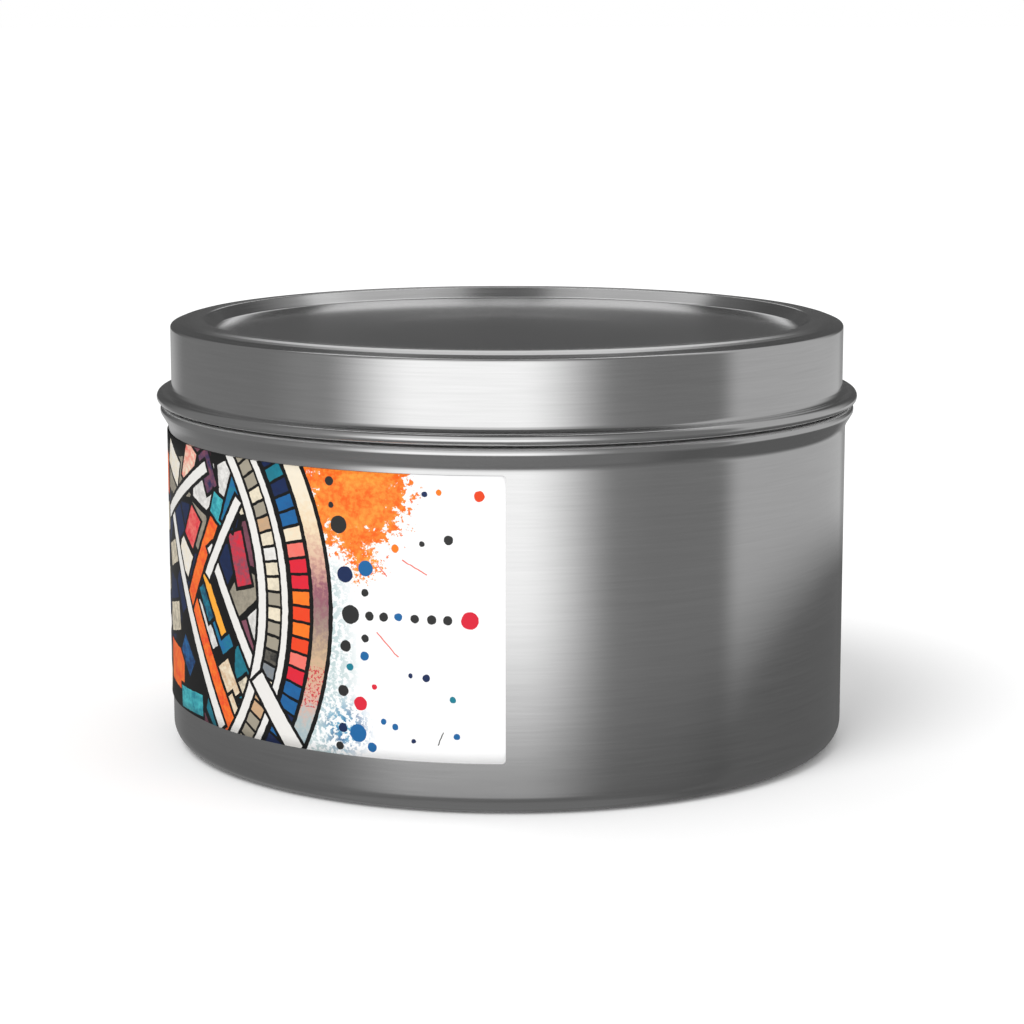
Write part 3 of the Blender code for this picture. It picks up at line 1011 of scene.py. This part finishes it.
def back_cards(nodes, level, behind, elevation):
    """A dark flag behind the tin with a strip light in it, by the azimuth from the front."""
    flag = nodes.maths(
        "MULTIPLY",
        nodes.ramp(behind, 125.0, 155.0),
        smooth_band(nodes, elevation, -4.5, 70.0, 3.0),
    )
    level = nodes.mix_value(flag, level, BACK_FLAG_LEVEL)
    strip_height = nodes.maths(
        "MULTIPLY",
        nodes.ramp(elevation, 14.0, 20.0),
        nodes.ramp(elevation, 43.0, 48.0, 1.0, 0.0),
    )
    strip = nodes.maths("MULTIPLY", nodes.ramp(behind, 166.0, 173.0), strip_height)
    return nodes.mix_value(strip, level, BACK_STRIP_LEVEL)


def canopy_mask(nodes, behind, elevation):
    """A bright card overhead, back of the tin. Its lower edge is higher straight behind."""
    side = nodes.ramp(elevation, 46.0, 74.0, 132.0, 104.0, smooth=False)
    lower_edge = nodes.ramp(behind, 155.0, 168.0, 46.0, 70.0)
    height = nodes.maths(
        "MULTIPLY",
        nodes.ramp(nodes.maths("SUBTRACT", elevation, lower_edge), 0.0, 5.0),
        nodes.ramp(elevation, 79.0, 84.0, 1.0, 0.0),
    )
    return nodes.maths(
        "MULTIPLY", nodes.ramp(nodes.maths("SUBTRACT", behind, side), 0.0, 10.0), height
    )


def dome_look():
    """Softboxes and flags round the tin."""
    made, nodes = emission_only("studio_dome")
    place = nodes.put("ShaderNodeTexCoord").outputs["Object"]
    towards = nodes.vector("NORMALIZE", place)
    a = math.radians(CAMERA_AZIMUTH)
    ahead = nodes.vector("DOT_PRODUCT", towards, (math.sin(a), -math.cos(a), 0.0))
    right = nodes.vector("DOT_PRODUCT", towards, (math.cos(a), math.sin(a), 0.0))
    azimuth = nodes.maths("DEGREES", nodes.maths("ARCTAN2", right, ahead))
    elevation = nodes.maths("DEGREES", nodes.maths("ARCSINE", nodes.split(towards)["Z"]))
    behind = nodes.maths("ABSOLUTE", azimuth)

    level = DOME_LEVEL
    for name, (left, far, side, low, high, edge, brightness) in CARDS.items():
        mask = nodes.maths(
            "MULTIPLY",
            smooth_band(nodes, azimuth, left, far, side),
            smooth_band(nodes, elevation, low, high, edge),
        )
        if name == "front_softbox":
            brightness = nodes.ramp(elevation, 2.0, 16.0, brightness, SOFTBOX_UPPER_LEVEL)
        level = nodes.mix_value(mask, level, brightness)
    level = back_cards(nodes, level, behind, elevation)
    level = nodes.mix_value(nodes.ramp(elevation, 54.0, 62.0), level, CEILING_LEVEL)
    level = nodes.mix_value(canopy_mask(nodes, behind, elevation), level, CANOPY_LEVEL)
    level = nodes.mix_value(nodes.ramp(elevation, -64.0, -52.0, 1.0, 0.0), level, GROUND_LEVEL)
    glow = nodes.put("ShaderNodeEmission", {"Strength": level}).outputs[0]
    nodes.put("ShaderNodeOutputMaterial", {"Surface": glow})
    return made


# The floor by the tin, as the steel mirrors it.
SHADE_RADIUS = 250.0 * MM
SHADE_LEVEL = 0.21
NEAR_SHARE = 0.77  # how much of the glow close to the tin hides the dome
SHADOW_SHARE = 0.93
SHADOW_DEPTH = 0.45
SHADOW_AZIMUTH = 130.0
SHADOW_OFFSET = 55.0 * MM


def shade_look():
    """A low glow round the tin, lower still in the tin's shadow."""
    made, nodes = emission_only("floor_shade")
    place = nodes.put("ShaderNodeTexCoord").outputs["Object"]
    turn = math.radians(CAMERA_AZIMUTH + SHADOW_AZIMUTH)
    shift = (-SHADOW_OFFSET * math.sin(turn), SHADOW_OFFSET * math.cos(turn), 0.0)
    away = nodes.vector("LENGTH", place)
    shadow = nodes.vector("LENGTH", nodes.vector("ADD", place, shift))
    shadow = nodes.ramp(shadow, 70.0 * MM, 125.0 * MM, 1.0, 0.0, smooth=False)
    near = nodes.ramp(away, 55.0 * MM, 140.0 * MM, NEAR_SHARE, 0.0, smooth=False)
    share = nodes.maths("MAXIMUM", near, nodes.maths("MULTIPLY", shadow, SHADOW_SHARE))
    lit = nodes.maths("SUBTRACT", 1.0, nodes.maths("MULTIPLY", shadow, SHADOW_DEPTH))
    level = nodes.maths("MULTIPLY", SHADE_LEVEL, lit)
    clear = nodes.put("ShaderNodeBsdfTransparent").outputs[0]
    glow = nodes.put("ShaderNodeEmission", {"Strength": level}).outputs[0]
    mixed = nodes.put("ShaderNodeMixShader", {0: share, 1: clear, 2: glow}).outputs[0]
    nodes.put("ShaderNodeOutputMaterial", {"Surface": mixed})
    return made


def only_seen_by_gloss(obj):
    """Hides an object from all but mirror-like reflections."""
    for kind in ("camera", "diffuse", "transmission", "volume_scatter", "shadow"):
        setattr(obj, f"visible_{kind}", False)


def studio_set():
    """The dome and the shade, which only the steel mirrors, and the floor."""
    bpy.ops.mesh.primitive_uv_sphere_add(segments=96, ring_count=48, radius=DOME_RADIUS)
    dome = bpy.context.object
    dome.name = "studio_dome"
    dome.data.shade_smooth()
    dome.data.materials.append(dome_look())
    dome.location.z = (bottom_of("tin_body") + top_of("lid")) / 2
    only_seen_by_gloss(dome)

    bpy.ops.mesh.primitive_circle_add(vertices=96, radius=SHADE_RADIUS, fill_type="NGON")
    shade = bpy.context.object
    shade.name = "floor_shade"
    shade.data.materials.append(shade_look())
    only_seen_by_gloss(shade)

    bpy.ops.mesh.primitive_plane_add(size=FLOOR_SIZE)
    floor = bpy.context.object
    floor.name = "studio_floor"
    made, shader, _ = new_material("studio_floor")
    shader.inputs["Base Color"].default_value = (FLOOR_TONE, FLOOR_TONE, FLOOR_TONE, 1.0)
    shader.inputs["Roughness"].default_value = 0.9
    shader.inputs["Specular IOR Level"].default_value = 0.0
    floor.data.materials.append(made)
    floor.visible_glossy = False


def studio_lights():
    """White surroundings and one soft key light. Neither shows in the steel."""
    world = bpy.data.worlds.new("studio")
    bpy.context.scene.world = world
    world.use_nodes = True
    nodes = Nodes(world.node_tree)
    seen = nodes.put("ShaderNodeLightPath").outputs["Is Camera Ray"]
    background = world.node_tree.nodes["Background"]
    background.inputs["Color"].default_value = (1.0, 1.0, 1.0, 1.0)
    nodes.feed(background.inputs["Strength"], nodes.mix_value(seen, SKY_LEVEL, 1.0))
    world.cycles_visibility.glossy = False

    key = bpy.data.lights.new("key_light", "SUN")
    key.angle = math.radians(KEY_SPREAD)
    key.energy = KEY_LEVEL
    lamp = bpy.data.objects.new("key_light", key)
    bpy.context.scene.collection.objects.link(lamp)
    lamp.rotation_euler = (
        math.radians(90.0 - KEY_ELEVATION), 0.0, math.radians(CAMERA_AZIMUTH + KEY_AZIMUTH)
    )
    lamp.visible_glossy = False
    bpy.context.scene.view_settings.view_transform = "Standard"


def camera():
    """A long lens a little above the tin, towards its right side."""
    data = bpy.data.cameras.new("camera")
    data.lens = LENS
    data.sensor_width = 36.0
    data.clip_start = 0.01
    data.clip_end = 100.0
    obj = bpy.data.objects.new("camera", data)
    bpy.context.scene.collection.objects.link(obj)
    a = math.radians(CAMERA_AZIMUTH)
    obj.location = (CAMERA_DISTANCE * math.sin(a), -CAMERA_DISTANCE * math.cos(a), CAMERA_HEIGHT)
    obj.rotation_euler = (
        math.radians(90.0 - CAMERA_PITCH), 0.0, math.radians(CAMERA_AZIMUTH - CAMERA_AIM)
    )
    bpy.context.scene.camera = obj


camera()
studio_set()
studio_lights()
steel_pieces()
label_piece(label_look())
wax_piece()
wick_piece()
wick_holder_pieces()
base_label_piece()
